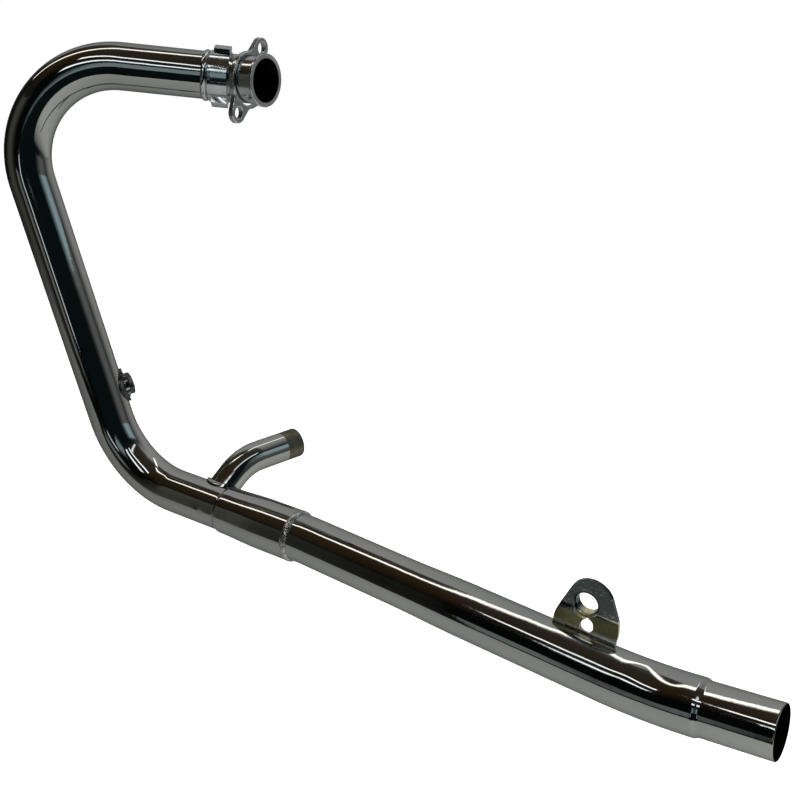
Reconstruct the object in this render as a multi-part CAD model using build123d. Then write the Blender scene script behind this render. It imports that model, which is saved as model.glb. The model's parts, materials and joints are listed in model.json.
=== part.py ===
from build123d import *
import os
from math import atan2, cos, radians, sin, sqrt, tan

os.makedirs("parts", exist_ok=True)

# Millimetres. The origin is the centre of the port face, +X leads away from the
# engine (forward), +Y is the left side of the motorcycle and +Z is up.

# Header tube
header_outer_diameter = 32.0
header_wall = 1.4
bend_radius = 64.0

# Corners of the centre line: distance to the next corner, yaw from +X to +Y, rise
elbow_corner_distance = 27.0
elbow_bend_radius = 25.0
top_yaw = 29.4
top_rise = 6.4
top_corner_distance = 167.7
down_yaw = 180.0
down_rise = -74.9
down_corner_distance = 315.7
run_yaw = 177.9
run_rise = -1.9
run_corner_distance = 167.7
rear_yaw = 176.8
rear_rise = -4.8
rear_corner_distance = 249.5
tail_yaw = 175.9
tail_rise = 5.0
tail_length = 78.6
joint_bend_radius = 120.0
tail_bend_radius = 339.0

# Port casting, measured from the elbow corner along the top run
hub_start = 2.8
hub_end = 17.0
hub_diameter = 34.2
hub_edge = 0.9
rib_end = 13.6
rib_tip_diameter = 41.4
rib_width = 9.5
rib_count = 5
rib_turn = -6.0
hub_weld_length = 4.0
hub_weld_height = 1.2

# Port ring on the end of the casting
port_ring_diameter = 35.2
port_ring_length = 2.0

# Loose flange
flange_thickness = 4.0
flange_rest_distance = 13.1
flange_clearance = 0.8
flange_hang = 0.7
flange_waist_wall = 2.3
flange_hole_spacing = 49.0
flange_hole_diameter = 8.0
flange_ear_wall = 3.1
flange_ear_root = 12.5
flange_corner_radius = 4.0
flange_turn = 37.8

# Bell mouth at the rear end of the header tube, measured from the lower corner
bell_step_start = 94.5
bell_step_end = 97.5
bell_step_rise = 1.1
bell_full = 132.0
bell_end = 157.0
slip_clearance = 0.1
bell_weld_length = 4.3
bell_weld_height = 0.2

# Rear tube: front diameter, swell and tail spigot
rear_front_diameter = 33.5
rear_diameter = 35.2
rear_wall = 1.4
rear_insert = 20.0
swell_start = 76.0
swell_end = 130.0
tail_diameter = 32.9
tail_step_gap = 3.4
tail_step_length = 4.2

# Test plug and its boss on the down tube
boss_distance = 248.8
boss_yaw = 57.0
boss_diameter = 19.0
boss_height = 2.2
boss_bore_diameter = 10.3
boss_weld_width = 3.2
boss_weld_height = 1.8
plug_clearance = 0.15
plug_hex = 14.4
plug_head_height = 4.3
plug_edge = 0.7
plug_shank_depth = 6.0

# Branch pipe, measured from the lower corner along the rear run
branch_distance = 80.3
branch_diameter = 22.0
branch_wall = 1.4
branch_yaw = 256.8
branch_rise = 34.5
branch_corner_distance = 39.9
branch_end_yaw = 250.7
branch_end_rise = -0.7
branch_end_length = 47.5
branch_bend_radius = 40.0
branch_weld_width = 2.2
branch_weld_height = 1.8

# Mounting bracket, measured on the rear tube
bracket_distance = 204.4
bracket_sheet = 2.5
bracket_width = 41.4
bracket_fold_width = 37.6
bracket_foot_width = 40.0
bracket_corner_radius = 10.0
bracket_foot_offset = 7.0
bracket_joggle = 4.5
bracket_foot_top = 19.5
bracket_belly_height = 23.0
bracket_fold = 29.5
bracket_hole_height = 33.8
bracket_hole_shift = -3.0
bracket_hole_diameter = 14.0
bracket_head_radius = 14.3
bracket_head_height = 37.4
bracket_head_shift = -0.2
bracket_collar_wall = 2.4
bracket_collar_length = 6.5
bracket_collar_edge = 2.0
bracket_window_radius = 4.2
bracket_window_shift = 0.7
bracket_window_height = 21.2
bracket_weld_size = 1.6
bracket_weld_length = 32.0

# Sizes that follow from the ones above
header_radius = header_outer_diameter / 2
header_bore = header_radius - header_wall
rear_front_radius = rear_front_diameter / 2
rear_radius = rear_diameter / 2
tail_radius = tail_diameter / 2
bell_bore = rear_front_radius + slip_clearance
bell_radius = bell_bore + header_wall
bell_step_radius = header_radius + bell_step_rise
hub_radius = hub_diameter / 2
branch_radius = branch_diameter / 2
branch_bore = branch_radius - branch_wall
boss_radius = boss_diameter / 2
boss_bore = boss_bore_diameter / 2
flange_bore = header_radius + flange_clearance
flange_hole_radius = flange_hole_diameter / 2
flange_ear_radius = flange_hole_radius + flange_ear_wall
bracket_hole_radius = bracket_hole_diameter / 2


def heading(yaw, rise):
    flat = cos(radians(rise))
    return Vector(flat * cos(radians(yaw)), flat * sin(radians(yaw)), sin(radians(rise)))


def frame_at(point, direction):
    return Plane(origin=point, z_dir=direction)


def turned(frame, stations):
    # Solid of revolution through (distance, radius) stations on the frame's Z axis
    outline = [(0, stations[0][0])]
    for distance, radius in stations:
        outline.append((radius, distance))
    outline.append((0, stations[-1][0]))
    section = make_face(Polyline(*outline, close=True))
    return frame * revolve(Plane.XZ * section, Axis.Z)


def swept(path, frame, radius):
    return sweep(frame * Circle(radius), path=path)


# Directions and corners of the centre line
port_direction = Vector(1, 0, 0)
top_direction = heading(top_yaw, top_rise)
down_direction = heading(down_yaw, down_rise)
run_direction = heading(run_yaw, run_rise)
rear_direction = heading(rear_yaw, rear_rise)
tail_direction = heading(tail_yaw, tail_rise)
tail_bend_angle = radians(rear_direction.get_angle(tail_direction))
tail_step_start = tail_bend_radius * tan(tail_bend_angle / 2) + tail_step_gap
port_centre = Vector(0, 0, 0)
elbow_corner = port_centre + port_direction * elbow_corner_distance
top_corner = elbow_corner + top_direction * top_corner_distance
low_corner = top_corner + down_direction * down_corner_distance
joint_corner = low_corner + run_direction * run_corner_distance
kink_corner = joint_corner + rear_direction * rear_corner_distance

port_frame = frame_at(port_centre, port_direction)
top_frame = frame_at(elbow_corner, top_direction)
run_frame = frame_at(low_corner, run_direction)
rear_frame = frame_at(joint_corner, rear_direction)
tail_frame = frame_at(kink_corner, tail_direction)

# Header tube: two bends on one radius, then the bell mouth
header_start = elbow_corner + top_direction * hub_end
bell_start = low_corner + run_direction * bell_step_start
header_path = FilletPolyline(header_start, top_corner, low_corner, bell_start, radius=bend_radius)
header_frame = frame_at(header_start, top_direction)
bell_outer = turned(run_frame, [
    (bell_step_start, header_radius),
    (bell_step_end, bell_step_radius),
    (bell_full, bell_radius),
    (bell_end, bell_radius),
])
bell_inner = turned(run_frame, [
    (bell_step_start, header_bore),
    (bell_step_end, bell_step_radius - header_wall),
    (bell_full, bell_bore),
    (bell_end, bell_bore),
])
header_outer = swept(header_path, header_frame, header_radius) + bell_outer
header_pipe = header_outer - (swept(header_path, header_frame, header_bore) + bell_inner)

# Port casting: spigot, elbow, hub and ribs in one piece
elbow_end = elbow_corner + top_direction * hub_end
elbow_path = FilletPolyline(port_centre, elbow_corner, elbow_end, radius=elbow_bend_radius)
hub = turned(top_frame, [
    (hub_start, hub_radius),
    (hub_end - hub_edge, hub_radius),
    (hub_end, hub_radius - hub_edge),
])
rib_frame = Plane(origin=elbow_corner, x_dir=(0, 0, 1), z_dir=top_direction)
rib_length = rib_end - hub_start
rib_reach = rib_tip_diameter / 2
rib_middle = hub_start + rib_length / 2
rib = Pos(rib_reach / 2, 0, rib_middle) * Box(rib_reach, rib_width, rib_length)
rib &= Pos(0, 0, rib_middle) * Cylinder(rib_reach, rib_length)
port_elbow = swept(elbow_path, port_frame, header_radius) + hub
for number in range(rib_count):
    port_elbow += rib_frame * Rot(0, 0, rib_turn + 360 * number / rib_count) * rib
port_elbow -= swept(elbow_path, port_frame, header_bore)

hub_weld = turned(top_frame, [
    (hub_end, header_radius + hub_weld_height / 3),
    (hub_end + hub_weld_length / 3, header_radius + hub_weld_height),
    (hub_end + hub_weld_length * 2 / 3, header_radius + hub_weld_height),
    (hub_end + hub_weld_length, header_radius + hub_weld_height / 3),
])
hub_weld -= turned(top_frame, [
    (hub_end, header_radius),
    (hub_end + hub_weld_length, header_radius),
])

# Port ring: stops the loose flange from coming off the spigot
port_ring = turned(port_frame, [
    (0, port_ring_diameter / 2),
    (port_ring_length, port_ring_diameter / 2),
])
port_ring -= turned(port_frame, [(0, header_radius), (port_ring_length, header_radius)])

# Loose two-ear flange, hanging on the top of the spigot
flange_centre = port_direction * flange_rest_distance - Vector(0, 0, flange_hang)
flange_plane = Plane(origin=flange_centre, x_dir=(0, 1, 0), z_dir=port_direction)
ear_turn = Rot(0, 0, flange_turn)
ear_offset = flange_hole_spacing / 2
ear_sketch = Sketch() + Circle(flange_ear_root)
ear_sketch += Pos(0, ear_offset) * Circle(flange_ear_radius)
ear_sketch += Pos(0, -ear_offset) * Circle(flange_ear_radius)
flange_sketch = make_hull(ear_sketch.edges()) + Circle(flange_bore + flange_waist_wall)
waist_corners = flange_sketch.vertices().sort_by_distance((0, 0, 0))[:4]
flange_sketch = fillet(waist_corners, flange_corner_radius)
flange_sketch -= Circle(flange_bore)
flange_sketch -= Pos(0, ear_offset) * Circle(flange_hole_radius)
flange_sketch -= Pos(0, -ear_offset) * Circle(flange_hole_radius)
port_flange = flange_plane * ear_turn * extrude(flange_sketch, flange_thickness, dir=(0, 0, 1))

# Rear tube: straight into the bell, a slight bend, the swell, the tail bend and spigot
rear_start = low_corner + run_direction * (bell_end - rear_insert)
swell_begin = joint_corner + rear_direction * swell_start
swell_finish = joint_corner + rear_direction * swell_end
tail_begin = kink_corner + tail_direction * tail_step_start
rear_front_path = FilletPolyline(rear_start, joint_corner, swell_begin, radius=joint_bend_radius)
rear_back_path = FilletPolyline(swell_finish, kink_corner, tail_begin, radius=tail_bend_radius)
rear_front_frame = frame_at(rear_start, run_direction)
rear_back_frame = frame_at(swell_finish, rear_direction)


def rear_solid(inset):
    swell = turned(rear_frame, [
        (swell_start, rear_front_radius - inset),
        (swell_end, rear_radius - inset),
    ])
    tail = turned(tail_frame, [
        (tail_step_start, rear_radius - inset),
        (tail_step_start + tail_step_length, tail_radius - inset),
        (tail_length, tail_radius - inset),
    ])
    front = swept(rear_front_path, rear_front_frame, rear_front_radius - inset)
    back = swept(rear_back_path, rear_back_frame, rear_radius - inset)
    return front + swell + back + tail


rear_outer = rear_solid(0)
rear_tube = rear_outer - rear_solid(rear_wall)

bell_weld = turned(run_frame, [
    (bell_end, bell_radius),
    (bell_end + bell_weld_length / 4, bell_radius + bell_weld_height),
    (bell_end + bell_weld_length * 2 / 3, bell_radius),
    (bell_end + bell_weld_length, rear_front_radius + bell_weld_height),
])
bell_weld -= turned(run_frame, [
    (bell_end, rear_front_radius),
    (bell_end + bell_weld_length, rear_front_radius),
])

# Boss and test plug on the inner rear side of the down tube
boss_centre = top_corner + down_direction * boss_distance
boss_flat = heading(180 + boss_yaw, 0)
boss_direction = (boss_flat - down_direction * boss_flat.dot(down_direction)).normalized()
boss_frame = frame_at(boss_centre, boss_direction)
down_frame = frame_at(boss_centre - down_direction * boss_diameter, down_direction)
boss_top = header_radius + boss_height
boss_shank = turned(boss_frame, [(0, boss_bore), (boss_top, boss_bore)])
test_boss = turned(boss_frame, [(0, boss_radius), (boss_top, boss_radius)])
test_boss -= header_outer
test_boss -= boss_shank
weld_layer = turned(down_frame, [
    (0, header_radius + boss_weld_height),
    (2 * boss_diameter, header_radius + boss_weld_height),
])
boss_weld_radius = boss_radius + boss_weld_width
boss_weld = turned(boss_frame, [(0, boss_weld_radius), (boss_top, boss_weld_radius)]) & weld_layer
boss_weld -= turned(boss_frame, [(0, boss_radius), (boss_top, boss_radius)])
boss_weld -= header_outer
header_pipe -= boss_shank

plug_head = RegularPolygon(plug_hex / 2, 6, major_radius=False)
test_plug = Pos(0, 0, boss_top) * extrude(plug_head, plug_head_height)
test_plug = chamfer(test_plug.faces().sort_by(Axis.Z)[-1].edges(), plug_edge)
plug_radius = boss_bore - plug_clearance
plug_length = boss_height + plug_shank_depth
test_plug += Pos(0, 0, boss_top - plug_length / 2) * Cylinder(plug_radius, plug_length)
test_plug = boss_frame * test_plug

# Branch pipe off the rear run, with its saddle weld
branch_base = low_corner + run_direction * branch_distance
branch_direction = heading(branch_yaw, branch_rise)
branch_corner = branch_base + branch_direction * branch_corner_distance
branch_end_direction = heading(branch_end_yaw, branch_end_rise)
branch_end = branch_corner + branch_end_direction * branch_end_length
branch_path = FilletPolyline(branch_base, branch_corner, branch_end, radius=branch_bend_radius)
branch_frame = frame_at(branch_base, branch_direction)
branch_outer = swept(branch_path, branch_frame, branch_radius)
branch_inner = swept(branch_path, branch_frame, branch_bore)
branch_pipe = branch_outer - branch_inner
branch_pipe -= header_outer
header_pipe -= branch_inner
branch_reach = header_radius + 2 * branch_radius
saddle_frame = frame_at(branch_base - run_direction * branch_diameter, run_direction)
saddle_layer = turned(saddle_frame, [
    (0, header_radius + branch_weld_height),
    (2 * branch_diameter, header_radius + branch_weld_height),
])
branch_weld_radius = branch_radius + branch_weld_width
branch_weld = turned(branch_frame, [
    (branch_radius, branch_weld_radius),
    (branch_reach, branch_weld_radius),
])
branch_weld = (branch_weld & saddle_layer) - branch_outer
branch_weld -= header_outer

# Bracket: joggled sheet with a small window over its foot and a drawn collar round its hole
bracket_centre = joint_corner + rear_direction * bracket_distance
bracket_side = rear_direction.cross(Vector(0, 0, 1)).normalized()
bracket_plane = Plane(origin=bracket_centre, x_dir=rear_direction, z_dir=bracket_side)
bracket_start = bracket_centre - rear_direction * (bracket_width / 2)
profile_plane = Plane(origin=bracket_start, x_dir=-bracket_side, z_dir=rear_direction)
bracket_head_offset = bracket_foot_offset + bracket_joggle
bracket_top = bracket_head_height + bracket_head_radius
joggle_angle = atan2(bracket_joggle, bracket_fold - bracket_foot_top)
half_sheet = bracket_sheet / 2
fold_shift = half_sheet * tan(joggle_angle / 2)
profile_face = make_face(Polyline(
    (bracket_foot_offset - half_sheet, rear_radius / 2),
    (bracket_foot_offset - half_sheet, bracket_foot_top + fold_shift),
    (bracket_head_offset - half_sheet, bracket_fold - fold_shift),
    (bracket_head_offset - half_sheet, bracket_top + bracket_sheet),
    (bracket_head_offset + half_sheet, bracket_top + bracket_sheet),
    (bracket_head_offset + half_sheet, bracket_fold + fold_shift),
    (bracket_foot_offset + half_sheet, bracket_foot_top - fold_shift),
    (bracket_foot_offset + half_sheet, rear_radius / 2),
    close=True,
))
profile_face = fillet(profile_face.vertices().sort_by(Axis.Y)[2:6], bracket_sheet)
bracket_strip = extrude(profile_plane * profile_face, bracket_width, dir=rear_direction)

outline = Sketch() + Pos(bracket_head_shift, bracket_head_height) * Circle(bracket_head_radius)
outline += make_face(Polyline(
    (-bracket_foot_width / 2, 0),
    (bracket_foot_width / 2, 0),
    (bracket_width / 2, bracket_belly_height),
    (bracket_fold_width / 2, bracket_fold),
    (-bracket_fold_width / 2, bracket_fold),
    (-bracket_width / 2, bracket_belly_height),
    close=True,
))
outline = make_hull(outline.edges())
outline = fillet(outline.vertices().sort_by(Axis.Y)[2:6], bracket_corner_radius)
outline -= Pos(bracket_window_shift, bracket_window_height) * Circle(bracket_window_radius)
outline_depth = 2 * (bracket_head_offset + bracket_sheet)
outline_block = bracket_plane * extrude(outline, outline_depth, both=True)
mount_bracket = bracket_strip & outline_block
collar_front = half_sheet - bracket_head_offset
collar_middle = collar_front - bracket_collar_length / 2
collar_place = bracket_plane * Pos(bracket_hole_shift, bracket_hole_height, collar_middle)
mount_bracket += collar_place * Cylinder(bracket_hole_radius + bracket_collar_wall, bracket_collar_length)
mount_bracket -= collar_place * Cylinder(bracket_hole_radius, bracket_collar_length)
collar_flare = bracket_hole_radius + bracket_collar_edge
collar_mouth = Pos(0, 0, bracket_collar_edge / 2) * Cylinder(collar_flare, bracket_collar_edge)
collar_mouth -= Torus(collar_flare, bracket_collar_edge)
mount_bracket -= collar_place * Pos(0, 0, bracket_collar_length / 2 - bracket_collar_edge) * collar_mouth
collar_space = Pos(0, 0, bracket_collar_length / 2 + bracket_joggle)
mount_bracket -= collar_place * collar_space * Cylinder(collar_flare, 2 * bracket_joggle)
mount_bracket -= rear_outer

# Weld bead along the outer side of the foot, up to its rear end
bead_x = bracket_foot_offset - half_sheet
bead_y = sqrt(rear_radius ** 2 - bead_x ** 2)
bead_sketch = Pos(bead_x, bead_y) * Circle(bracket_weld_size)
bead_sketch &= Pos(bead_x - bracket_weld_size, bead_y) * Rectangle(2 * bracket_weld_size, 4 * bracket_weld_size)
bead_shift = Pos(rear_direction * ((bracket_width + bracket_foot_width) / 2 - bracket_weld_length))
bracket_weld = bead_shift * extrude(profile_plane * bead_sketch, bracket_weld_length, dir=rear_direction)
bracket_weld -= rear_outer

nodes = {
    "header_pipe": header_pipe,
    "port_elbow": port_elbow,
    "hub_weld": hub_weld,
    "port_ring": port_ring,
    "port_flange": port_flange,
    "test_boss": test_boss,
    "boss_weld": boss_weld,
    "test_plug": test_plug,
    "branch_pipe": branch_pipe,
    "branch_weld": branch_weld,
    "rear_tube": rear_tube,
    "bell_weld": bell_weld,
    "mount_bracket": mount_bracket,
    "bracket_weld": bracket_weld,
}
for name, shape in nodes.items():
    print(name, len(shape.solids()), round(shape.volume, 1))
    export_step(shape, "parts/" + name + ".step")
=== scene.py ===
import json
from math import atan2, cos, degrees, exp, radians, sin, tan

import bmesh
import bpy
from mathutils import Euler, Matrix, Vector

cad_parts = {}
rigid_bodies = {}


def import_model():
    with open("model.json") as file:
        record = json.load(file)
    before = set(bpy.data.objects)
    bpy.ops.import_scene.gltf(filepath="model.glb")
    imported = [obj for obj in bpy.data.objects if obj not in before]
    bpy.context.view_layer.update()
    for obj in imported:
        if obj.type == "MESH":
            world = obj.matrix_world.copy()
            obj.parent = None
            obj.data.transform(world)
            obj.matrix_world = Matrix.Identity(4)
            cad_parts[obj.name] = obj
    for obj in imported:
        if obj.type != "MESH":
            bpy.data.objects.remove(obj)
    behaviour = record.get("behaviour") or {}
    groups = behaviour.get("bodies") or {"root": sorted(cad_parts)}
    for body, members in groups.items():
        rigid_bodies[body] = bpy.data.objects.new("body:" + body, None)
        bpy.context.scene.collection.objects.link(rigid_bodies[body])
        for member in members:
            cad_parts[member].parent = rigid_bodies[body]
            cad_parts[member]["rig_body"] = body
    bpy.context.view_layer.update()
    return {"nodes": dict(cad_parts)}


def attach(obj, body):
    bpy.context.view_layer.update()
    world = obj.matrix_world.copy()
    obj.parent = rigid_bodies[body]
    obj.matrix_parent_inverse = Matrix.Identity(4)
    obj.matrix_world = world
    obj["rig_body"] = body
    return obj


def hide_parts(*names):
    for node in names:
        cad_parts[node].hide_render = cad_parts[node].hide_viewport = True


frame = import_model()
nodes = frame["nodes"]
mm = 0.001
mergeReach = 1e-6
print("frame loaded:", len(nodes), "nodes")


# node materials

def newMaterial(name):
    material = bpy.data.materials.new(name)
    material.use_nodes = True
    tree = material.node_tree
    shader = tree.nodes["Principled BSDF"]
    coords = tree.nodes.new("ShaderNodeTexCoord")
    return material, tree, shader, coords.outputs["Object"]


def addNoise(tree, coords, scale, detail=4.0, stretch=None):
    if stretch:
        mapping = tree.nodes.new("ShaderNodeMapping")
        mapping.inputs["Scale"].default_value = stretch
        tree.links.new(coords, mapping.inputs["Vector"])
        coords = mapping.outputs["Vector"]
    texture = tree.nodes.new("ShaderNodeTexNoise")
    texture.inputs["Scale"].default_value = scale
    texture.inputs["Detail"].default_value = detail
    tree.links.new(coords, texture.inputs["Vector"])
    return texture.outputs["Fac"]


def addRamp(tree, source, stops):
    ramp = tree.nodes.new("ShaderNodeValToRGB")
    ends = ramp.color_ramp.elements
    for end, (place, colour) in ((ends[0], stops[0]), (ends[1], stops[-1])):
        end.position = place
        end.color = (*colour, 1)
    for place, colour in stops[1:-1]:
        ramp.color_ramp.elements.new(place).color = (*colour, 1)
    tree.links.new(source, ramp.inputs["Fac"])
    return ramp.outputs["Color"]


def addRange(tree, source, low, high, fromLow=0.3, fromHigh=0.7):
    spread = tree.nodes.new("ShaderNodeMapRange")
    spread.inputs["From Min"].default_value = fromLow
    spread.inputs["From Max"].default_value = fromHigh
    spread.inputs["To Min"].default_value = low
    spread.inputs["To Max"].default_value = high
    tree.links.new(source, spread.inputs["Value"])
    return spread.outputs["Result"]


def addSplit(tree, coords):
    parts = tree.nodes.new("ShaderNodeSeparateXYZ")
    tree.links.new(coords, parts.inputs["Vector"])
    return parts.outputs


def addSum(tree, first, second):
    total = tree.nodes.new("ShaderNodeMix")
    total.data_type = "RGBA"
    total.blend_type = "ADD"
    total.inputs["Factor"].default_value = 1.0
    tree.links.new(first, total.inputs[6])  # the two colour sockets
    tree.links.new(second, total.inputs[7])
    return total.outputs[2]


def addMath(tree, operation, first, second=None):
    result = tree.nodes.new("ShaderNodeMath")
    result.operation = operation
    tree.links.new(first, result.inputs[0])
    if second:
        tree.links.new(second, result.inputs[1])
    return result


def addBump(tree, coords, shader, finish):
    bump = tree.nodes.new("ShaderNodeBump")
    bump.inputs["Strength"].default_value = finish["grain"]
    bump.inputs["Distance"].default_value = finish["grainDepth"]
    grain = addNoise(tree, coords, finish["grainScale"], detail=3.0)
    tree.links.new(grain, bump.inputs["Height"])
    tree.links.new(bump.outputs["Normal"], shader.inputs["Normal"])


def metalFinish(name, finish):
    material, tree, shader, coords = newMaterial(name)
    shader.inputs["Metallic"].default_value = 1.0
    shader.inputs["Specular Tint"].default_value = (*finish["edge"], 1)
    tone = addNoise(tree, coords, finish["toneScale"])
    tree.links.new(addRamp(tree, tone, finish["tones"]), shader.inputs["Base Color"])
    film = addNoise(tree, coords, finish["filmScale"], detail=6.0)
    tree.links.new(addRange(tree, film, *finish["roughness"]), shader.inputs["Roughness"])
    addBump(tree, coords, shader, finish)
    return material


# edge is the tint at a grazing look, film the scale of the roughness, grain the bump
chromeFinish = {
    "edge": (0.46, 0.47, 0.46),
    "toneScale": 9.0,
    "tones": [(0.35, (0.40, 0.415, 0.405)), (0.65, (0.46, 0.465, 0.45))],
    "filmScale": 26.0,
    "roughness": (0.03, 0.085),
    "grainScale": 48.0,
    "grain": 0.11,
    "grainDepth": 1.0 * mm,
}
weldFinish = {
    "edge": (0.6, 0.6, 0.58),
    "toneScale": 260.0,
    "tones": [(0.35, (0.30, 0.30, 0.29)), (0.65, (0.62, 0.62, 0.60))],
    "filmScale": 300.0,
    "roughness": (0.12, 0.24),
    "grainScale": 420.0,
    "grain": 0.8,
    "grainDepth": 1.2 * mm,
}
castFinish = {
    "edge": (0.6, 0.6, 0.6),
    "toneScale": 120.0,
    "tones": [(0.3, (0.50, 0.53, 0.545)), (0.7, (0.62, 0.65, 0.665))],
    "filmScale": 200.0,
    "roughness": (0.10, 0.18),
    "grainScale": 110.0,
    "grain": 0.02,
    "grainDepth": 1.0 * mm,
}
# painted highlight: a brighter metal for the eased edges of the castings, in place of highlight lines
# along them
edgeHighlightFinish = {
    "edge": (0.8, 0.8, 0.8),
    "toneScale": 160.0,
    "tones": [(0.3, (0.70, 0.73, 0.74)), (0.7, (0.84, 0.87, 0.88))],
    "filmScale": 200.0,
    "roughness": (0.22, 0.34),
    "grainScale": 300.0,
    "grain": 0.05,
    "grainDepth": 1.0 * mm,
}
flangeFinish = {
    "edge": (0.6, 0.6, 0.6),
    "toneScale": 160.0,
    "tones": [(0.3, (0.44, 0.46, 0.47)), (0.7, (0.56, 0.58, 0.59))],
    "filmScale": 240.0,
    "roughness": (0.15, 0.26),
    "grainScale": 300.0,
    "grain": 0.12,
    "grainDepth": 0.8 * mm,
}
plugFinish = {
    "edge": (0.4, 0.4, 0.4),
    "toneScale": 180.0,
    "tones": [(0.3, (0.10, 0.10, 0.10)), (0.7, (0.17, 0.17, 0.17))],
    "filmScale": 260.0,
    "roughness": (0.18, 0.32),
    "grainScale": 800.0,
    "grain": 0.1,
    "grainDepth": 0.4 * mm,
}
bareFinish = {
    "edge": (0.35, 0.34, 0.3),
    "toneScale": 150.0,
    "tones": [(0.3, (0.14, 0.132, 0.10)), (0.7, (0.22, 0.21, 0.165))],
    "filmScale": 220.0,
    "roughness": (0.38, 0.55),
    "grainScale": 900.0,
    "grain": 0.15,
    "grainDepth": 0.4 * mm,
}
boreFinish = {
    "edge": (0.05, 0.045, 0.04),
    "toneScale": 60.0,
    "tones": [(0.3, (0.006, 0.005, 0.004)), (0.7, (0.028, 0.022, 0.016))],
    "filmScale": 140.0,
    "roughness": (0.5, 0.7),
    "grainScale": 500.0,
    "grain": 0.2,
    "grainDepth": 0.6 * mm,
}
chrome = metalFinish("chromePlate", chromeFinish)
weldMetal = metalFinish("weldBead", weldFinish)
castMetal = metalFinish("platedCasting", castFinish)
flangeMetal = metalFinish("dullFlange", flangeFinish)
edgeHighlightMetal = metalFinish("paintedEdgeHighlight", edgeHighlightFinish)
plugMetal = metalFinish("plugSteel", plugFinish)
bareMetal = metalFinish("bareSteel", bareFinish)
soot = metalFinish("sootyBore", boreFinish)


# bracket: colour in bands by height: a light foot, a yellow strip, then dark scratched metal up to the
# top, a painted reflection of the dark room
bracketFinishAndPaintedReflection = {
    "heights": (-292.5 * mm, -272.5 * mm),
    # painted reflection: from 0.66 up the plate is painted dark, as if it mirrored the dark room
    "tones": [(0.0, (0.80, 0.80, 0.76)), (0.12, (0.78, 0.77, 0.68)), (0.20, (0.60, 0.52, 0.26)),
              (0.52, (0.70, 0.62, 0.33)), (0.60, (0.80, 0.80, 0.74)), (0.66, (0.11, 0.125, 0.12)),
              (1.0, (0.07, 0.085, 0.085))],
    "roughness": (0.32, 0.13),
    "roughnessAt": (0.5, 0.7),
    "scratches": [(0.60, (0, 0, 0)), (0.78, (0.50, 0.52, 0.51))],
    "scratchStretch": (420.0, 60.0, 1500.0),
    "grainScale": 240.0,
    "grain": 0.3,
    "grainDepth": 0.6 * mm,
}


def bracketMaterial():
    material, tree, shader, coords = newMaterial("bracketPlatePaintedReflection")
    shader.inputs["Metallic"].default_value = 1.0
    height = addRange(tree, addSplit(tree, coords)["Z"], 0.0, 1.0, *bracketFinishAndPaintedReflection["heights"])
    tone = addRamp(tree, height, bracketFinishAndPaintedReflection["tones"])
    marks = addNoise(tree, coords, 1.0, detail=5.0, stretch=bracketFinishAndPaintedReflection["scratchStretch"])
    marks = addRamp(tree, marks, bracketFinishAndPaintedReflection["scratches"])
    tree.links.new(addSum(tree, tone, marks), shader.inputs["Base Color"])
    gloss = addRange(tree, height, *bracketFinishAndPaintedReflection["roughness"], *bracketFinishAndPaintedReflection["roughnessAt"])
    tree.links.new(gloss, shader.inputs["Roughness"])
    addBump(tree, coords, shader, bracketFinishAndPaintedReflection)
    return material


bracketMetal = bracketMaterial()
print("finishes made")


# tube building
tubing = {
    "endRing": 0.3 * mm,  # short rings at both ends keep the shading of a straight run true
    "sharpFrom": 40,
    "dentEnd": 3,  # a dent has faded out at this many times its reach
}


def heading(yaw, rise):
    flat = cos(radians(rise))
    return Vector((flat * cos(radians(yaw)), flat * sin(radians(yaw)), sin(radians(rise))))


def facing(place, direction):
    return Matrix.Translation(place) @ direction.to_track_quat("Z", "Y").to_matrix().to_4x4()


def bendSetback(before, after, bendRadius):
    return bendRadius * tan(before.angle(after) / 2)


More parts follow.
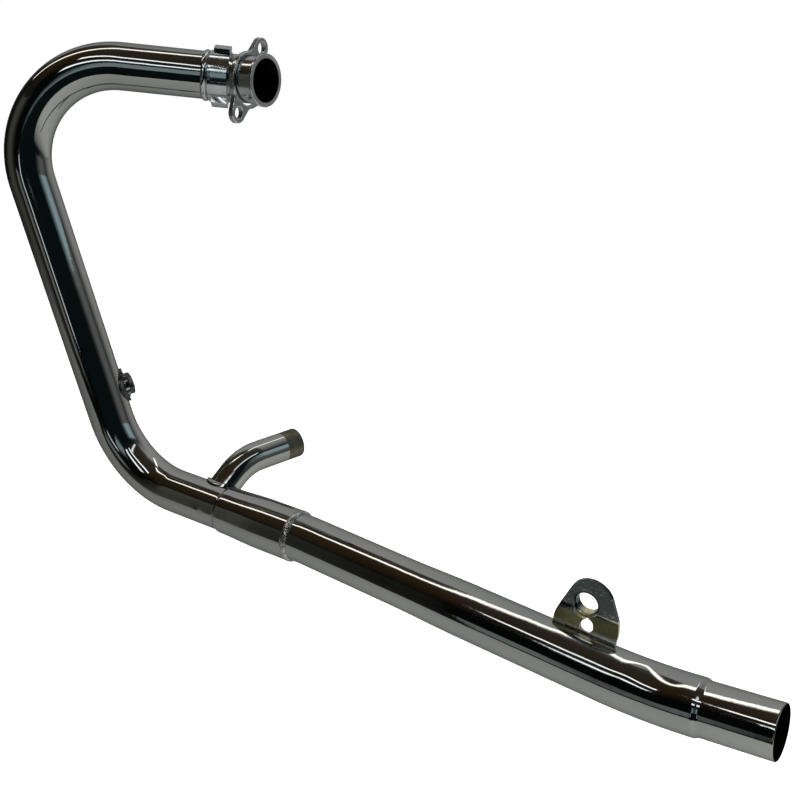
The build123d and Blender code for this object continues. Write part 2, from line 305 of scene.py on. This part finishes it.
class TubeRun:
    # a ring of edges that is pushed, widened and swung along the tube's centre line
    def __init__(self, place, direction, radius, segments):
        self.bm = bmesh.new()
        self.place = place.copy()
        self.direction = direction.normalized()
        self.radius = radius
        bmesh.ops.create_circle(
            self.bm, segments=segments, radius=radius, matrix=facing(place, direction)
        )
        self.ring = list(self.bm.edges)

    def push(self, length, radius=None, steps=1):
        straight = radius is None or abs(radius - self.radius) < mergeReach
        lengths = [length / steps] * steps
        endRing = tubing["endRing"]
        if straight and steps == 1 and length > 4 * endRing:
            lengths = [endRing, length - 2 * endRing, endRing]
        startRadius = self.radius
        for step, part in enumerate(lengths):
            grown = bmesh.ops.extrude_edge_only(self.bm, edges=self.ring)["geom"]
            verts = [v for v in grown if isinstance(v, bmesh.types.BMVert)]
            self.ring = [e for e in grown if isinstance(e, bmesh.types.BMEdge)]
            move = self.direction * part
            bmesh.ops.translate(self.bm, verts=verts, vec=move)
            self.place = self.place + move
            if not straight:
                share = (step + 1) / len(lengths)
                ease = share * share * (3 - 2 * share)  # smooth shoulder
                newRadius = startRadius + (radius - startRadius) * ease
                factor = newRadius / self.radius
                about = Matrix.Translation(-self.place)
                bmesh.ops.scale(self.bm, verts=verts, vec=(factor,) * 3, space=about)
                self.radius = newRadius

    def swing(self, direction, bendRadius, steps):
        direction = direction.normalized()
        axis = self.direction.cross(direction).normalized()
        angle = self.direction.angle(direction)
        centre = self.place + axis.cross(self.direction) * bendRadius
        ringVerts = list(dict.fromkeys(v for e in self.ring for v in e.verts))
        spun = bmesh.ops.spin(
            self.bm, geom=self.ring + ringVerts, cent=centre, axis=axis, angle=angle, steps=steps
        )
        self.ring = [e for e in spun["geom_last"] if isinstance(e, bmesh.types.BMEdge)]
        self.place = centre + Matrix.Rotation(angle, 3, axis) @ (self.place - centre)
        self.direction = direction

    def follow(self, shape, forward=True):
        for kind, amount, before, after, steps in shape if forward else reversed(shape):
            if kind == "push":
                self.push(amount, after if forward else before, steps)
            else:
                self.swing(after if forward else -before, amount, steps)

    def roundRim(self, rim, shares):
        for length, narrowing in shares:
            self.push(rim * length, self.radius - rim * narrowing)

    def turnBack(self, radius):
        self.push(0.0, radius)
        self.direction = -self.direction

    def paint(self, *ends):
        # the next material starts at each of these face counts
        for number, face in enumerate(self.bm.faces):
            face.material_index = sum(number >= end for end in ends)

    def dent(self, place, reach, depth):
        # a soft hollow: the whole wall moves against the outside normal at that place
        place = Vector(place)
        self.bm.normal_update()
        outward = min(self.bm.verts, key=lambda vert: (vert.co - place).length).normal.copy()
        for vert in self.bm.verts:
            away = (vert.co - place).length / reach
            if away < tubing["dentEnd"]:
                vert.co -= outward * (depth * exp(-away * away))

    def close(self, name, materials, dents=()):
        bmesh.ops.remove_doubles(self.bm, verts=self.bm.verts, dist=mergeReach)
        bmesh.ops.recalc_face_normals(self.bm, faces=self.bm.faces)
        for dent in dents:
            self.dent(*dent)
        return meshPiece(name, self.bm, materials, tubing["sharpFrom"])


def meshPiece(name, bm, materials, sharpFrom=None):
    mesh = bpy.data.meshes.new(name)
    bm.to_mesh(mesh)
    bm.free()
    for polygon in mesh.polygons:
        polygon.use_smooth = True
    if sharpFrom:
        mesh.set_sharp_from_angle(angle=radians(sharpFrom))
    piece = bpy.data.objects.new(name, mesh)
    bpy.context.scene.collection.objects.link(piece)
    for material in materials:
        mesh.materials.append(material)
    return piece


def settle(piece, body, node):
    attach(piece, body)
    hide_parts(node)
    return piece


# centre line of the whole pipe: yaw, rise and length of each leg, and the bends between them
route = {
    "elbowCorner": 27.0 * mm,
    "top": (29.4, 6.4, 167.7 * mm),
    "down": (180.0, -74.9, 315.7 * mm),
    "run": (177.9, -1.9, 167.7 * mm),
    "rear": (176.8, -4.8, 249.5 * mm),
    "tail": (175.9, 5.0, 78.6 * mm),
    "mainBend": 64.0 * mm,
    "jointBend": 120.0 * mm,
    "tailBend": 339.0 * mm,
}
topWay, downWay, runWay, rearWay, tailWay = (
    heading(*route[leg][:2]) for leg in ("top", "down", "run", "rear", "tail")
)
topLength, downLength, runLength, rearLength, tailLength = (
    route[leg][2] for leg in ("top", "down", "run", "rear", "tail")
)
elbowCorner = Vector((route["elbowCorner"], 0, 0))
topCorner = elbowCorner + topWay * topLength
lowCorner = topCorner + downWay * downLength

header = {
    "radius": 16.0 * mm,
    "wall": 1.4 * mm,
    "start": 17.0 * mm,
    "stepStart": 94.5 * mm,
    "stepEnd": 97.5 * mm,
    "stepRadius": 17.1 * mm,
    "bellFull": 132.0 * mm,
    "bellEnd": 157.0 * mm,
    "bellRadius": 18.25 * mm,
    "segments": 96,
    "bendSteps": 80,
    "runSteps": 30,
    "stepSteps": 8,
    "bellSteps": 10,
    # marks in the low bend: place in metres, reach, depth
    "dents": [
        ((0.0479, 0.0939, -0.2752), 4.0 * mm, 0.35 * mm),
        ((0.0088, 0.1006, -0.2861), 3.0 * mm, 0.30 * mm),
        ((0.0762, 0.0865, -0.2567), 6.0 * mm, 0.30 * mm),
        ((0.0590, 0.0916, -0.2709), 5.0 * mm, 0.25 * mm),
    ],
}


def headerShape(inset):
    topSet = bendSetback(topWay, downWay, route["mainBend"])
    lowSet = bendSetback(downWay, runWay, route["mainBend"])
    tube = header["radius"] - inset
    step = header["stepRadius"] - inset
    bell = header["bellRadius"] - inset
    # push: length, radius before and after, steps; swing: bend, way before and after, steps
    return [
        ("push", topLength - header["start"] - topSet, tube, tube, 1),
        ("swing", route["mainBend"], topWay, downWay, header["bendSteps"]),
        ("push", downLength - topSet - lowSet, tube, tube, 1),
        ("swing", route["mainBend"], downWay, runWay, header["bendSteps"]),
        ("push", header["stepStart"] - lowSet, tube, tube, header["runSteps"]),
        ("push", header["stepEnd"] - header["stepStart"], tube, step, header["stepSteps"]),
        ("push", header["bellFull"] - header["stepEnd"], step, bell, header["bellSteps"]),
        ("push", header["bellEnd"] - header["bellFull"], bell, bell, 1),
    ]


def makeHeader():
    start = elbowCorner + topWay * header["start"]
    tube = TubeRun(start, topWay, header["radius"], header["segments"])
    tube.follow(headerShape(0.0))
    outsideFaces = len(tube.bm.faces)
    tube.turnBack(header["bellRadius"] - header["wall"])
    tube.follow(headerShape(header["wall"]), forward=False)
    tube.push(0.0, header["radius"])
    tube.paint(outsideFaces)
    piece = tube.close("headerPipe", [chrome, soot], header["dents"])
    return settle(piece, "pipe", "header_pipe")


headerPipe = makeHeader()
print("header tube:", len(headerPipe.data.polygons), "faces")


rear = {
    "frontRadius": 16.75 * mm,
    "radius": 17.6 * mm,
    "tailRadius": 16.45 * mm,
    "wall": 1.4 * mm,
    "insert": 20.0 * mm,
    "swellStart": 76.0 * mm,
    "swellEnd": 130.0 * mm,
    "stepGap": 3.4 * mm,
    "stepLength": 4.2 * mm,
    "rim": 0.6 * mm,
    "rimSteps": [(0.6, 0.2), (0.4, 0.5)],  # length and narrowing, as shares of the rim
    "segments": 96,
    "jointSteps": 6,
    "swellSteps": 16,
    "tailSteps": 56,
    "stepSteps": 10,
    # wavy marks in the tail bend: place in metres, reach, depth
    "dents": [
        ((-0.3289, 0.1071, -0.2944), 8.0 * mm, 0.50 * mm),
        ((-0.3364, 0.1118, -0.2960), 7.0 * mm, 0.35 * mm),
        ((-0.3150, 0.1080, -0.2945), 7.0 * mm, -0.15 * mm),
        ((-0.3480, 0.1110, -0.2945), 6.0 * mm, -0.15 * mm),
    ],
}


def rearShape(inset):
    jointSet = bendSetback(runWay, rearWay, route["jointBend"])
    tailSet = bendSetback(rearWay, tailWay, route["tailBend"])
    frontRun = runLength - header["bellEnd"] + rear["insert"] - jointSet
    tailRun = tailLength - tailSet - rear["stepGap"] - rear["stepLength"]
    front = rear["frontRadius"] - inset
    middle = rear["radius"] - inset
    tail = rear["tailRadius"] - inset
    return [
        ("push", frontRun, front, front, 1),
        ("swing", route["jointBend"], runWay, rearWay, rear["jointSteps"]),
        ("push", rear["swellStart"] - jointSet, front, front, 1),
        ("push", rear["swellEnd"] - rear["swellStart"], front, middle, rear["swellSteps"]),
        ("push", rearLength - rear["swellEnd"] - tailSet, middle, middle, 1),
        ("swing", route["tailBend"], rearWay, tailWay, rear["tailSteps"]),
        ("push", rear["stepGap"], middle, middle, 1),
        ("push", rear["stepLength"], middle, tail, rear["stepSteps"]),
        ("push", tailRun - rear["rim"], tail, tail, 1),
    ]


def makeRear():
    start = lowCorner + runWay * (header["bellEnd"] - rear["insert"])
    tube = TubeRun(start, runWay, rear["frontRadius"], rear["segments"])
    tube.follow(rearShape(0.0))
    tube.roundRim(rear["rim"], rear["rimSteps"])
    outsideFaces = len(tube.bm.faces)
    tube.turnBack(rear["tailRadius"] - rear["wall"])
    tube.push(rear["rim"])
    tube.follow(rearShape(rear["wall"]), forward=False)
    tube.push(0.0, rear["frontRadius"])
    tube.paint(outsideFaces)
    piece = tube.close("rearTube", [chrome, soot], rear["dents"])
    return settle(piece, "pipe", "rear_tube")


rearTube = makeRear()
print("rear tube:", len(rearTube.data.polygons), "faces")


# side tube: yaw, rise and length of both legs
branch = {
    "distance": 80.3 * mm,
    "radius": 11.0 * mm,
    "wall": 1.4 * mm,
    "start": (256.8, 34.5, 39.9 * mm),
    "end": (250.7, -0.7, 47.5 * mm),
    "bend": 40.0 * mm,
    "bareLength": 13.5 * mm,
    "rim": 0.5 * mm,
    "rimSteps": [(1.0, 0.5)],
    "sunk": 14.0 * mm,
    "segments": 72,
    "bendSteps": 28,
}


def makeBranch():
    base = lowCorner + runWay * branch["distance"]
    startWay = heading(*branch["start"][:2])
    endWay = heading(*branch["end"][:2])
    setback = bendSetback(startWay, endWay, branch["bend"])
    lead = branch["start"][2] - setback - branch["sunk"]
    endRun = branch["end"][2] - setback
    tube = TubeRun(base + startWay * branch["sunk"], startWay, branch["radius"], branch["segments"])
    tube.push(lead)
    tube.swing(endWay, branch["bend"], branch["bendSteps"])
    tube.push(endRun - branch["bareLength"])
    platedFaces = len(tube.bm.faces)
    tube.push(branch["bareLength"] - branch["rim"])
    tube.roundRim(branch["rim"], branch["rimSteps"])
    outsideFaces = len(tube.bm.faces)
    tube.turnBack(branch["radius"] - branch["wall"])
    tube.push(endRun)
    tube.swing(-startWay, branch["bend"], branch["bendSteps"])
    tube.push(lead)
    tube.push(0.0, branch["radius"])
    tube.paint(platedFaces, outsideFaces)
    piece = tube.close("branchPipe", [chrome, bareMetal, soot])
    return settle(piece, "pipe", "branch_pipe")


branchPipe = makeBranch()
print("branch pipe:", len(branchPipe.data.polygons), "faces")


# pieces whose solids are already right: a merged copy with eased edges
# name, finish, slot, width of the eased edge
eased = {
    "port_elbow": ("portElbow", castMetal, "casting", 0.7 * mm),
    "port_ring": ("portRing", flangeMetal, "casting", 0.35 * mm),
    "port_flange": ("portFlange", flangeMetal, "casting", 0.6 * mm),
    "test_boss": ("testBoss", chrome, "chrome", 0.3 * mm),
    "test_plug": ("testPlug", plugMetal, "plug", 0.25 * mm),
    "mount_bracket": ("mountBracket", bracketMetal, "chrome", 0.35 * mm),
    "boss_weld": ("bossWeld", plugMetal, "weld", 0.0),
    "branch_weld": ("branchWeld", chrome, "weld", 0.0),
    "hub_weld": ("hubWeld", castMetal, "weld", 0.0),
    "bell_weld": ("bellWeld", weldMetal, "weld", 0.0),
    "bracket_weld": ("bracketWeld", chrome, "weld", 0.0),
}
easing = {
    "sharpFrom": 35,
    "segments": 3,
    "flatWithin": 0.5,
    "sootyNodes": ("port_elbow", "port_ring"),
    "sootReach": 16.9 * mm,
    "sootFacing": -0.5,
}


def makeEased(node, name, finish, slot, edge):
    bm = bmesh.new()
    bm.from_mesh(nodes[node].data)
    bmesh.ops.remove_doubles(bm, verts=bm.verts, dist=mergeReach)
    if slot == "casting":  # flat faces in one piece, so that their edges are eased evenly
        flat = radians(easing["flatWithin"])
        bmesh.ops.dissolve_limit(bm, angle_limit=flat, verts=bm.verts, edges=bm.edges)
    if node in easing["sootyNodes"]:  # the gas side, which faces the port axis
        for face in bm.faces:
            middle = face.calc_center_median()
            out = Vector((0, middle.y, middle.z))
            inward = face.normal.dot(out.normalized()) < easing["sootFacing"]
            face.material_index = 1 if inward and out.length < easing["sootReach"] else 0
    piece = meshPiece(name, bm, [finish, soot, edgeHighlightMetal], easing["sharpFrom"])
    if edge:
        bevel = piece.modifiers.new("easedEdges", "BEVEL")
        bevel.width = edge
        bevel.segments = easing["segments"]
        bevel.limit_method = "ANGLE"
        bevel.angle_limit = radians(easing["sharpFrom"])
        bevel.harden_normals = True
        if slot == "casting":  # a painted highlight: brighter metal along the eased edges
            bevel.material = 2
    return settle(piece, nodes[node]["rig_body"], node)


for node, look in eased.items():
    makeEased(node, *look)
print("eased pieces:", len(eased))


# studio: pale floor, white sweep behind and above, lamps over the pipe, a dark room on the near side
studio = {
    "floorHeight": -0.60,
    "floorFrom": (-2.4, -2.0),
    "floorTo": (2.4, 1.06),
    "floorTones": [(0.3, (0.8036, 0.8036, 0.7938)), (0.7, (0.82, 0.82, 0.81))],
    "floorToneScale": 3.0,
    "floorRoughness": 0.9,
    "floorSeen": 0.93,
    "floorTint": (0.99, 1.0, 0.955),
    # painted light on the floor as the metal sees it: glow levels and the spans over which they fade
    "floorPaintedGlow": (0.58, 0.05),
    "floorFade": (-0.5, 1.6),
    "endPaintedGlow": (0.02, 1.0),
    "endFade": (-2.3, -0.9),
    "sweepTint": (1.0, 1.0, 0.98),
    "sweepGlow": (0.069, 0.46),
    "sweepFade": (-2.2, -0.4),
    "sweepEnds": (-2.4, 4.0),
    "sweepHeight": 2.0,
    "sweepFront": -0.85,
}
# lamps over the pipe: middle line, height, width, tint, glow
lampLines = {
    "creamLamp": ([(3.0, 0.30), (1.2, 0.26), (0.7, 0.18), (0.5, 0.04), (0.37, -0.13), (0.24, -0.5),
                   (0.12, -0.94), (0.0, -1.6)], 1.6, 0.26, (1.0, 0.95, 0.87), 3.0),
    "nearLamp": ([(-1.5, 1.18), (0.42, 1.18)], 1.47, 0.26, (0.94, 0.98, 1.0), 3.0),
    "sideLamp": ([(-1.1, 1.72), (0.32, 1.72)], 1.12, 0.46, (0.90, 0.98, 1.0), 2.7),
    "backLamp": ([(-1.6, -0.3), (-1.0, 1.0)], 1.5, 0.45, (0.92, 0.98, 1.0), 1.6),
}
# windows and lit edges of the room: azimuth from and to, height from and to in degrees, tint, glow
windows = {
    "sideWindow": ((92, 122), (5, 22), (0.78, 1.0, 1.04), 0.36),
    "rearWindow": ((172, 228), (7.5, 30), (0.74, 1.0, 1.08), 0.55),
    "rearPanel": ((168, 232), (-9, 7.5), (0.94, 1.0, 0.98), 0.17),
    "rearGlint": ((194, 203), (6, 18), (0.86, 0.97, 1.0), 1.7),
    "sideGlint": ((88, 94), (-11, 3), (0.92, 0.98, 1.0), 1.3),
    "oliveDoor": ((8, 70), (-22, 25), (1.0, 1.0, 0.80), 0.085),
    "doorEdge": ((47, 55), (-7, 19), (1.0, 1.0, 0.90), 0.20),
    "frontPost": ((60, 84), (-17, -1), (0.90, 1.0, 0.98), 0.24),
}
windowReach = 3.2
windowSteps = 6
# brightness across a lamp or window: full in the middle, dim towards both sides
softSides = [(0.0, 0.02), (0.2, 0.4), (0.36, 1.0), (0.64, 1.0), (0.8, 0.4), (1.0, 0.02)]
# the room's own colours: by height, from the tail's end to the port's end, from the near side to the far
room = {
    "height": [(0.55, (0, 0, 0)), (0.85, (0.036, 0.017, 0.005)), (0.97, (0.044, 0.034, 0.022))],
    "length": [(0.34, (0.005, 0.010, 0.011)), (0.46, (0.003, 0.004, 0.004)),
               (0.695, (0.003, 0.004, 0.004)), (0.745, (0.016, 0.015, 0.010))],
    "depth": [(0.56, (0, 0, 0)), (0.95, (0.20, 0.21, 0.21))],
}
# soft lamps that light but aren't mirrored: place, target, size, power
softLamps = {
    "keyLamp": ((-0.4, 0.4, 1.5), (-0.1, 0.05, -0.3), 1.4, 32.0),
    "fillLamp": ((-1.2, 1.4, 0.4), (-0.1, 0.05, -0.15), 1.2, 9.0),
}


def floorMaterial():
    material, tree, shader, coords = newMaterial("paleFloor")
    tone = addRamp(tree, addNoise(tree, coords, studio["floorToneScale"]), studio["floorTones"])
    tree.links.new(tone, shader.inputs["Base Color"])
    shader.inputs["Roughness"].default_value = studio["floorRoughness"]
    shader.inputs["Emission Color"].default_value = (1, 1, 1, 1)
    path = tree.nodes.new("ShaderNodeLightPath")
    seen = addMath(tree, "MULTIPLY", path.outputs["Is Camera Ray"])
    seen.inputs[1].default_value = studio["floorSeen"]
    tree.links.new(seen.outputs[0], shader.inputs["Emission Strength"])
    glow = tree.nodes.new("ShaderNodeEmission")  # what metal mirrors of the floor: a painted glow, brightest around X -0.9 to -0.5 and fading towards both ends, in place of lamp light falling on it
    glow.inputs["Color"].default_value = (*studio["floorTint"], 1)
    along = addSplit(tree, coords)["X"]
    paintedFalloff = addRange(tree, along, *studio["floorPaintedGlow"], *studio["floorFade"])
    end = addRange(tree, along, *studio["endPaintedGlow"], *studio["endFade"])
    tree.links.new(addMath(tree, "MULTIPLY", paintedFalloff, end).outputs[0], glow.inputs["Strength"])
    rays = (path.outputs["Is Glossy Ray"], path.outputs["Is Transmission Ray"])
    mirrored = addMath(tree, "MAXIMUM", *rays)
    mix = tree.nodes.new("ShaderNodeMixShader")
    for socket, source in enumerate((mirrored, shader, glow)):
        tree.links.new(source.outputs[0], mix.inputs[socket])
    tree.links.new(mix.outputs[0], tree.nodes["Material Output"].inputs["Surface"])
    return material


def glowMaterial(name, tint):
    material, tree, shader, coords = newMaterial(name)
    tree.nodes.remove(shader)
    glow = tree.nodes.new("ShaderNodeEmission")
    glow.inputs["Color"].default_value = (*tint, 1)
    tree.links.new(glow.outputs["Emission"], tree.nodes["Material Output"].inputs["Surface"])
    return material, tree, glow, coords


def sweepMaterial():
    material, tree, glow, coords = glowMaterial("whiteSweep", studio["sweepTint"])
    level = addRange(tree, addSplit(tree, coords)["X"], *studio["sweepGlow"], *studio["sweepFade"])
    tree.links.new(level, glow.inputs["Strength"])
    return material


def softGlow(name, tint, strength):
    material, tree, glow, coords = glowMaterial(name, tint)
    glow.inputs["Strength"].default_value = strength
    across = addSplit(tree, coords.node.outputs["UV"])["Y"]
    stops = [(place, tuple(share * part for part in tint)) for place, share in softSides]
    tree.links.new(addRamp(tree, across, stops), glow.inputs["Color"])
    return material


def stagePiece(name, bm, material, mirroredOnly=True):
    sheet = meshPiece(name, bm, [material])
    if mirroredOnly:
        sheet.visible_camera = False
        sheet.visible_diffuse = False
        sheet.visible_shadow = False
    return sheet


def makeSheet(name, corners, material, mirroredOnly=True):
    bm = bmesh.new()
    bm.faces.new([bm.verts.new(corner) for corner in corners])
    return stagePiece(name, bm, material, mirroredOnly)


def makeLampLine(name, line, height, width, tint, glow):
    bm = bmesh.new()
    across = bm.loops.layers.uv.new("across")
    points = [Vector((*point, height)) for point in line]
    sides = []
    for place, point in enumerate(points):
        along = points[min(place + 1, len(points) - 1)] - points[max(place - 1, 0)]
        out = Vector((-along.y, along.x, 0)).normalized() * (width / 2)
        sides.append((bm.verts.new(point - out), bm.verts.new(point + out)))
    for before, after in zip(sides, sides[1:]):
        face = bm.faces.new((before[0], after[0], after[1], before[1]))
        for loop, place in zip(face.loops, ((0, 0), (1, 0), (1, 1), (0, 1))):
            loop[across].uv = place
    return stagePiece(name, bm, softGlow(name, tint, glow))


def makeWindow(name, span, rise, tint, glow):
    # an upright edge, spun about the middle of the room
    bm = bmesh.new()
    across = bm.loops.layers.uv.new("across")
    flat = heading(span[0], 0.0) * windowReach
    post = [bm.verts.new(flat + Vector((0, 0, windowReach * tan(radians(angle))))) for angle in rise]
    post.append(bm.edges.new(post))
    turn = span[1] - span[0]
    bmesh.ops.spin(bm, geom=post, axis=(0, 0, 1), angle=radians(turn), steps=windowSteps)
    for face in bm.faces:
        for loop in face.loops:
            corner = loop.vert.co
            loop[across].uv = (0.0, (degrees(atan2(corner.y, corner.x)) % 360 - span[0]) / turn)
    return stagePiece(name, bm, softGlow(name, tint, glow))


def makeStudio():
    low = studio["floorHeight"]
    left, back = studio["floorFrom"]
    right, front = studio["floorTo"]
    floor = [(left, back, low), (right, back, low), (right, front, low), (left, front, low)]
    makeSheet("floor", floor, floorMaterial(), mirroredOnly=False)
    left, right = studio["sweepEnds"]
    high = studio["sweepHeight"]
    near = studio["sweepFront"]
    paper = sweepMaterial()
    wall = [(left, back, low), (left, back, high), (right, back, high), (right, back, low)]
    makeSheet("sweepWall", wall, paper)
    top = [(left, back, high), (left, near, high), (right, near, high), (right, back, high)]
    makeSheet("sweepTop", top, paper)
    for name, lamp in lampLines.items():
        makeLampLine(name, *lamp)
    for name, window in windows.items():
        makeWindow(name, *window)


def makeWorld():
    world = bpy.data.worlds.new("studioRoom")
    bpy.context.scene.world = world
    world.use_nodes = True
    tree = world.node_tree
    coords = tree.nodes.new("ShaderNodeTexCoord")
    way = addSplit(tree, coords.outputs["Generated"])
    height = addRamp(tree, way["Z"], room["height"])
    length = addRamp(tree, addRange(tree, way["X"], 0.0, 1.0, -1.0, 1.0), room["length"])
    depth = addRamp(tree, addRange(tree, way["Y"], 1.0, 0.0, -1.0, 1.0), room["depth"])
    path = tree.nodes.new("ShaderNodeLightPath")
    mix = tree.nodes.new("ShaderNodeMix")  # the camera sees white, the metal mirrors the room
    mix.data_type = "RGBA"
    tree.links.new(path.outputs["Is Camera Ray"], mix.inputs["Factor"])
    tree.links.new(addSum(tree, addSum(tree, height, length), depth), mix.inputs[6])
    mix.inputs[7].default_value = (1, 1, 1, 1)
    tree.links.new(mix.outputs[2], tree.nodes["Background"].inputs["Color"])


def addLamp(name, place, target, size, power):
    lamp = bpy.data.lights.new(name, "AREA")
    lamp.size = size
    lamp.energy = power
    holder = bpy.data.objects.new(name, lamp)
    bpy.context.scene.collection.objects.link(holder)
    holder.location = place
    holder.rotation_euler = (Vector(target) - Vector(place)).to_track_quat("-Z", "Y").to_euler()
    holder.visible_glossy = False


makeStudio()
makeWorld()
for name, lamp in softLamps.items():
    addLamp(name, *lamp)
print("studio set")


# place in metres, turn in degrees
view = {
    "place": (-0.4650675, 0.6166060, 0.1107512),
    "turn": (65.50891, 0.71911, -149.81047),
    "lens": 49.5,
    "sensor": 36.0,
    "clipStart": 0.01,
}


def makeCamera():
    camera = bpy.data.cameras.new("photoCamera")
    camera.lens = view["lens"]
    camera.sensor_width = view["sensor"]
    camera.clip_start = view["clipStart"]
    holder = bpy.data.objects.new("photoCamera", camera)
    bpy.context.scene.collection.objects.link(holder)
    turn = Euler([radians(angle) for angle in view["turn"]])
    holder.matrix_world = Matrix.Translation(view["place"]) @ turn.to_matrix().to_4x4()
    bpy.context.scene.camera = holder


makeCamera()
bpy.context.scene.view_settings.view_transform = "Standard"
